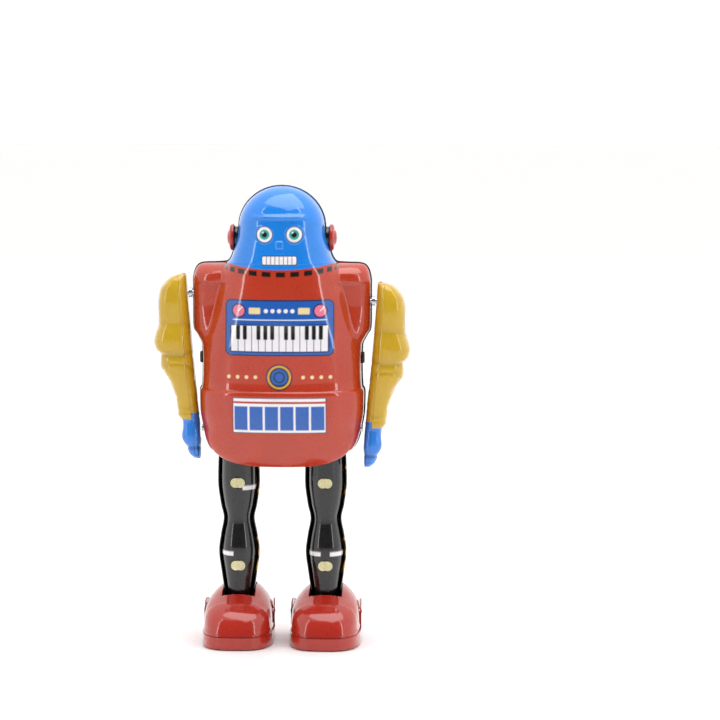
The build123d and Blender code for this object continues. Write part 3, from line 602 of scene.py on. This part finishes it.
def torso_pieces(front_look, back_look):
    dense = np.linspace(-50, 50, 250)
    side = np.linspace(51, 89.9, 44)
    s = np.radians(np.concatenate([-side[::-1], dense, side]))
    floor_run = run_at(68.45)
    runs = np.concatenate([
        np.linspace(0, floor_run, 24)[:-1], np.linspace(floor_run, run_at(81.0), 26)[:-1],
        np.linspace(run_at(81.0), run_at(144.0), 250)[:-1],
        np.linspace(run_at(144.0), run_at(166.0), 120)[:-1],
        np.linspace(run_at(166.0), BODY_END, 40)])
    grid_s, grid_run = np.meshgrid(s, runs)
    front = body_point(grid_s, grid_run)
    page = Print(front[..., 0], front[..., 2], RED)
    print_panel(page)
    print_grille(page)
    print_band(page)
    print_collar(page)
    print_face(page)
    piece = sheet_piece("torso_front", front, front_look, page.inks, leg_holes(front))
    settle(piece, "torso", ["torso_front_shell"])

    s = np.radians(np.linspace(-89.0, 89.0, 150))
    runs = np.concatenate([np.linspace(0, floor_run, 20)[:-1], np.linspace(floor_run, BODY_END, 230)])
    grid_s, grid_run = np.meshgrid(s, runs)
    back = body_point(grid_s, grid_run, front=False)
    page = Print(back[..., 0], back[..., 2], RED)
    half, low, high = BACK_PANEL
    page.rect(-half, half, low, high, NAVY, 3.0)
    page.rect(-half + 0.4, half - 0.4, low + 0.4, high - 0.4, CASE_BLUE, 2.6)
    page.disc(0, KEY_Z, 9.0, WHITE)
    page.disc(0, KEY_Z, 8.4, CASE_BLUE)
    print_collar(page)
    edge = np.stack([BODY[1](runs), np.zeros(len(runs)), BODY[0](runs)], axis=-1)
    run_dir = np.gradient(edge, axis=0)
    out = np.stack([run_dir[:, 2], np.zeros(len(runs)), -run_dir[:, 0]], axis=-1)
    out /= np.maximum(np.linalg.norm(out, axis=1, keepdims=True), 1e-9)
    beads = [edge + out * SEAM_BEAD + [0, y, 0] for y in (0.0, 0.7)] + [edge + out * 0.05 + [0, 0.85, 0]]
    right = np.stack(beads[::-1], axis=1)
    left = np.stack(beads, axis=1) * [-1, 1, 1]
    points = np.concatenate([left, back, right], axis=1)
    seam = np.broadcast_to(np.array(BLACK), left.shape)
    inks = np.concatenate([seam, page.inks, seam], axis=1)
    piece = sheet_piece("torso_back", points, back_look, inks, leg_holes(points), True)
    settle(piece, "torso", ["torso_back_shell"])


def lathe(name, profile, centre, side, material):
    """A turned piece about a line along x, from pairs of x and radius."""
    turn = np.linspace(0, 2 * pi, 65)
    rows = [[(side * x, centre[0] + r * cos(a), centre[1] + r * sin(a)) for a in turn] for x, r in profile]
    return sheet_piece(name, np.array(rows), material, flip_faces=side > 0, thick=0.3)


LUG = (30.2, 1.3, -0.8, 1.4, 109.35, 2.25)      # x and depth, y and half width, z and half height


def torso_fittings(brass, dark):
    """The pressed boss round the winding arbor and the lugs that close the seam."""
    profile = ((14.7, 4.7), (15.2, 4.55), (15.4, 4.1), (15.2, 3.4), (15.35, 2.8), (15.3, 2.4), (14.7, 2.35))
    turn = np.linspace(0, 2 * pi, 65)
    rows = [[(r * cos(a), y, KEY_Z + r * sin(a)) for a in turn] for y, r in profile]
    settle(sheet_piece("key_boss", np.array(rows), brass, thick=0.3), "torso", [])
    u, v = np.meshgrid(np.linspace(-1, 1, 25), np.linspace(-1, 1, 33))
    x, depth, y, half_y, z, half_z = LUG
    rise = np.maximum((1 - u ** 8) * (1 - v ** 8), 0) ** 0.25
    for name, side in SIDES.items():
        points = np.stack([side * (x + depth * rise), y + half_y * u, z + half_z * v], axis=-1)
        piece = sheet_piece(f"seam_lug_{name}", points, dark, flip_faces=side < 0)
        settle(piece, "torso", [])


def ear_pieces(red, dark):
    cap = [(18.3, 4.55), (18.5, 4.8), (19.1, 4.75), (19.5, 4.4), (19.6, 3.9), (19.45, 3.4), (19.6, 2.9)]
    cap += [(20.2, 2.4), (20.5, 1.5), (20.6, 0.6), (20.6, 0.05)]
    base = [(16.4, 3.7), (17.0, 3.9), (18.0, 3.9), (18.35, 3.6)]
    for name, side in SIDES.items():
        piece = lathe(f"ear_{name}", cap, (0, EAR_Z), side, red)
        settle(piece, "torso", [f"ear_cap_{name}"])
        piece = lathe(f"ear_root_{name}", base, (0, EAR_Z), side, dark)
        settle(piece, "torso", [f"ear_base_{name}"])


def signed_power(value, power):
    return np.sign(value) * np.abs(value) ** (2 / power)


def turn_to(share, power):
    """Angle at which a squarish oval reaches a share of its half size."""
    share = np.clip(share, -0.995, 0.995)
    return np.arcsin(np.sign(share) * np.abs(share) ** (power / 2))


# drop below the pivot, near and far side, depth ahead of and behind the hip line
ARM_STATIONS = [
    (7.2, 36.7, 38.2, 2.2, 2.2), (6.6, 36.5, 41.0, 4.0, 4.0), (4.4, 36.3, 44.0, 6.0, 6.0),
    (1.2, 36.1, 46.2, 7.0, 7.0), (-4.5, 35.7, 47.0, 7.4, 7.4), (-11.5, 35.1, 46.9, 7.2, 7.2),
    (-15.0, 34.8, 47.9, 7.4, 7.6), (-18.6, 34.5, 48.6, 7.6, 7.8), (-21.6, 34.2, 47.9, 7.5, 7.4),
    (-24.0, 34.0, 46.2, 7.0, 6.6), (-27.4, 33.7, 46.2, 7.2, 6.6), (-33.5, 33.1, 42.9, 6.8, 5.6),
    (-39.0, 32.5, 40.8, 6.2, 4.6), (-47.6, 31.8, 39.0, 5.6, 4.2), (-49.0, 31.6, 38.0, 5.2, 3.8),
    (-54.0, 31.3, 37.6, 5.8, 4.0), (-58.0, 31.2, 36.8, 5.2, 3.8), (-62.0, 31.2, 35.2, 4.2, 3.0),
    (-63.6, 31.4, 33.4, 2.4, 1.6),
]
ARM_POWER = 2.6
ARM_PIVOT_Z = {"left": 131.0, "right": 134.0}
CUFF = -48.0
SLEEVE_FOLDS = (                    # drop, lean, depth, width
    (-15.2, -0.45, 0.25, 1.3), (-21.0, 0.30, 0.45, 0.9), (-24.6, -0.25, 0.50, 0.9), (-30.0, 0.75, 0.45, 0.9),
    (-34.5, -0.85, 0.40, 0.8), (-38.5, 0.65, 0.35, 0.8), (-42.5, -0.50, 0.30, 0.8),
)


def arm_folds(y, drop):
    """Creases of the sleeve and grooves between the fingers, outward in millimetres."""
    folds = 0
    for at, lean, depth, width in SLEEVE_FOLDS:
        folds = folds - depth * bump(drop, at + lean * y, width) * (0.55 + 0.45 * np.cos(0.5 * y + at))
    cuff = 0.35 * bump(drop, CUFF + 1.4, 0.8)
    fingers = 0
    for y_gap in (-4.4, -2.4, -0.4):
        fingers = fingers - 0.4 * bump(y, y_gap, 0.35) * smooth_step(-drop, 54.5, 56.5)
    thumb = 0.8 * bump(y, -6.2, 1.6) * bump(drop, -54.5, 2.6)
    thumb = thumb + 0.45 * bump(drop, -56.4, 1.7) - 0.45 * bump(drop, -59.0, 0.7)
    return folds * smooth_step(drop, -46.5, -44.0) + cuff + fingers + thumb


def arm_piece(side, outer, material):
    name = "outer" if outer else "inner"
    sign, pivot = SIDES[side], ARM_PIVOT_Z[side]
    table = np.array(ARM_STATIONS)[::-1]
    drop = np.linspace(table[0, 0], table[-1, 0], 230)[:, None]
    near, far, ahead, behind = (pchip(table[:, 0], table[:, k])(drop) for k in range(1, 5))
    middle, half = (near + far) / 2, (far - near) / 2
    seam = 38.8 + 0.09 * drop
    quarter = pi / 2 - turn_to((seam - middle) / half, ARM_POWER)
    share = np.linspace(-1, 1, 90)[None, :]
    turn = share * quarter if outer else pi + share * (pi - quarter)
    depth, centre = (ahead + behind) / 2, HIP_Y + (behind - ahead) / 2
    c, s = signed_power(np.cos(turn), ARM_POWER), signed_power(np.sin(turn), ARM_POWER)
    y = centre + depth * s
    proud = arm_folds(y, drop + 0 * y) + (0.2 if outer else 0.0)
    x = middle + (half + proud * (1 if outer else 0.3)) * c
    y = y + proud * 0.6 * s
    z = pivot + drop + 0 * y
    points = np.stack([sign * x, y, z], axis=-1)
    page = Print(y, drop + 0 * y, YELLOW)
    if outer:
        for place, radius in ((-6.0, 3.4), (-41.5, 2.2)):
            page.disc(HIP_Y, place, radius + 0.4, NAVY)
            page.disc(HIP_Y, place, radius, WHITE)
    # painted shade: the sleeve darkens towards brown in its pressed folds, more where the fold is deeper
    crease_shade = np.clip(-arm_folds(y, drop + 0 * y) * 0.5, 0, 0.3)[..., None]
    sleeve = page.inks * (1 - crease_shade) + np.array(SHADE_BROWN) * crease_shade
    hand = np.clip((CUFF + (0.0 if outer else 2.4) - page.z) / 0.3, 0, 1)[..., None]
    # painted shade: the hand goes navy in the grooves between the fingers and under the thumb
    groove_shade = np.clip(-arm_folds(y, drop + 0 * y) * 1.5, 0, 0.8)[..., None]
    inks = sleeve * (1 - hand) + (np.array(HAND_BLUE) * (1 - groove_shade) + np.array(NAVY) * groove_shade) * hand
    piece = sheet_piece(f"arm_{name}_{side}", points, material, inks, flip_faces=sign < 0)
    settle(piece, f"{side}_arm", [f"arm_{name}_shell_{side}"])


# height, half width, depth ahead of and behind the hip line
LEG_STATIONS = [
    (13.6, 5.0, 4.6, 4.8), (17.0, 5.2, 4.8, 5.0), (26.0, 6.4, 5.8, 6.6), (34.5, 7.4, 6.6, 7.4),
    (41.0, 6.6, 6.0, 6.4), (47.5, 5.5, 5.4, 5.4), (53.0, 6.6, 6.0, 6.0), (62.0, 7.6, 6.8, 6.8),
    (70.0, 7.4, 6.8, 6.6), (76.0, 6.8, 6.4, 6.2),
]
LEG_POWER = 2.25
LEG_SEAM_Y = -3.0
TAB_SLOTS = ((29.6, 61.7), 1.95, 0.6)      # heights, half height, half width


def leg_piece(side, front, material):
    sign = SIDES[side]
    table = np.array(LEG_STATIONS)
    z = np.linspace(table[0, 0], table[-1, 0], 170)[:, None]
    wide, ahead, behind = (pchip(table[:, 0], table[:, k])(z) for k in range(1, 4))
    depth, centre = (ahead + behind) / 2, HIP_Y + (behind - ahead) / 2
    cut = LEG_SEAM_Y + (1.6 if front else 0.0)
    start = turn_to((cut - centre) / depth, LEG_POWER)
    share = np.linspace(0, 1, 100)[None, :]
    if front:
        turn = -pi - start + share * (pi + 2 * start)
        wide = wide - 0.9
    else:
        turn = start + share * (pi - 2 * start)
    x = wide * signed_power(np.cos(turn), LEG_POWER)
    y = centre + depth * signed_power(np.sin(turn), LEG_POWER)
    z = z + 0 * y
    page = Print(sign * x, z, BLACK)
    if front:
        bands = [(-9, -1.8, 33.4, 35.0), (1.8, 9, 33.4, 35.0)]
        if side == "right":
            bands = [(1.8, 9, 58.9, 60.5), (-9, -1.8, 33.4, 35.0)]
        for x0, x1, z0, z1 in bands:
            page.rect(x0, x1, z0, z1, WHITE)
    else:
        page.line([(9.0, 70.0), (5.8, 64.0), (7.2, 58.0), (4.8, 52.0)], 0.6, GOLD)
        page.line([(9.0, 44.0), (6.2, 38.0), (7.8, 32.0), (5.4, 25.0)], 0.6, GOLD)
    holes = None
    if front:
        mid_x, mid_z = middles(x), middles(z)
        holes = np.zeros(mid_x.shape, bool)
        for level in TAB_SLOTS[0]:
            holes |= (np.abs(mid_z - level) < TAB_SLOTS[1]) & (np.abs(mid_x) < TAB_SLOTS[2])
    points = np.stack([sign * (LEG_X + x), y, z], axis=-1)
    name = "front" if front else "back"
    flipped = (sign > 0) == (not front)
    piece = sheet_piece(f"leg_{name}_{side}", points, material, page.inks, holes, flipped)
    settle(piece, f"{side}_leg", [f"leg_{name}_shell_{side}"])


# height, half width, toe and heel
UPPER_STATIONS = [
    (4.9, 13.0, -25.0, 15.2), (7.0, 13.0, -24.6, 15.1), (10.0, 12.95, -23.3, 14.8),
    (13.0, 12.6, -20.8, 14.2), (15.6, 11.6, -16.8, 13.3), (17.6, 10.0, -11.8, 12.3),
    (19.6, 7.8, -6.8, 11.0), (21.4, 4.4, 0.0, 9.6),
]
ANKLE_SLOT = (6.3, -9.4, 6.7)       # half width, front, back
CROWN_STEPS = 16


def shoe_piece(side, material):
    """A shoe's pressed upper, with a stepped toe cap and a slot for the leg."""
    sign = SIDES[side]
    table = np.array(UPPER_STATIONS)
    z = np.linspace(table[0, 0], table[-1, 0], 90)[:, None]
    half, toe, heel = (pchip(table[:, 0], table[:, k])(z) for k in range(1, 4))
    turn = np.linspace(0, 2 * pi, 181)[None, :]
    power = 3.1 - 0.6 * smooth_step(z, 9.0, 17.0)
    x = half * signed_power(np.cos(turn), power)
    y = (toe + heel) / 2 + (heel - toe) / 2 * signed_power(np.sin(turn), power)
    cap = 0.18 * smooth_step(-y, 13.6, 15.4)
    welt = 0.3 * bump(z, 6.2, 0.7)
    x = x * (1 + (cap + welt) / 14)
    y = y - cap * 0.8
    z = z + 0 * y + 0.5 * cap * smooth_step(z, 8, 14)
    inner = np.stack([sign * (LEG_X + x), y, z], axis=-1)
    inks = np.broadcast_to(np.array(SHOE_RED), inner.shape).copy()
    top = inner[-1:]
    middle = top.mean(axis=1, keepdims=True)
    shares = np.linspace(0.06, 0.98, CROWN_STEPS)
    closing = [top * (1 - k) + middle * k + [0, 0, 0.25 * k] for k in shares]
    points = np.concatenate([inner, *closing], axis=0)
    inks = np.concatenate([inks] + [inks[-1:]] * CROWN_STEPS, axis=0)
    mx, my, mz = (middles(points[..., k]) for k in range(3))
    half_slot, front, back = ANKLE_SLOT
    holes = (np.abs(np.abs(mx) - LEG_X) < half_slot) & (my > front) & (my < back) & (mz > 5.5)
    piece = sheet_piece(f"shoe_{side}", points, material, inks, holes, flip_faces=sign < 0)
    settle(piece, f"{side}_foot", [f"shoe_upper_{side}"])


# ------------------------------------------------------------------ the whole robot
def build():
    """Look every part kept from the frame and put the pressed pieces over it."""
    printed = lacquer("printed_lacquer")
    red_lacquer = lacquer("shoe_red_lacquer", SHOE_RED)
    looks = {
        "shoe_lacquer": red_lacquer,
        "black_lacquer": lacquer("black_look", BLACK),
        "ear_red": lacquer("ear_look", ink("#b52a1e")),
        "sleeve_lacquer": lacquer("sleeve_look", YELLOW),
        "chest_lacquer": printed,
        "back_lacquer": printed,
        "tinplate": metal("tinplate_look", ink("#b9bcc0"), 0.32),
        "brass_tinplate": metal("tab_look", ink("#d8cfa4"), 0.24),
        "steel_wire": metal("wire_look", ink("#c3c6ca"), 0.22, (1, 1, 6)),
        "gear_brass": metal("gear_look", ink("#c9a254"), 0.28),
        "spring_steel": metal("spring_look", ink("#7f8288"), 0.34),
        "key_plate": metal("key_look", ink("#c9ccd1"), 0.18),
        "roller_metal": metal("roller_look", ink("#a8aaae"), 0.4),
    }
    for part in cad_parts.values():
        for place in part.material_slots:
            place.material = looks[place.material.name]
    torso_pieces(printed, printed)
    torso_fittings(looks["gear_brass"], looks["black_lacquer"])
    ear_pieces(looks["ear_red"], looks["black_lacquer"])
    for side in SIDES:
        arm_piece(side, True, printed)
        arm_piece(side, False, printed)
        leg_piece(side, True, printed)
        leg_piece(side, False, printed)
        shoe_piece(side, printed)


build()
make_studio()
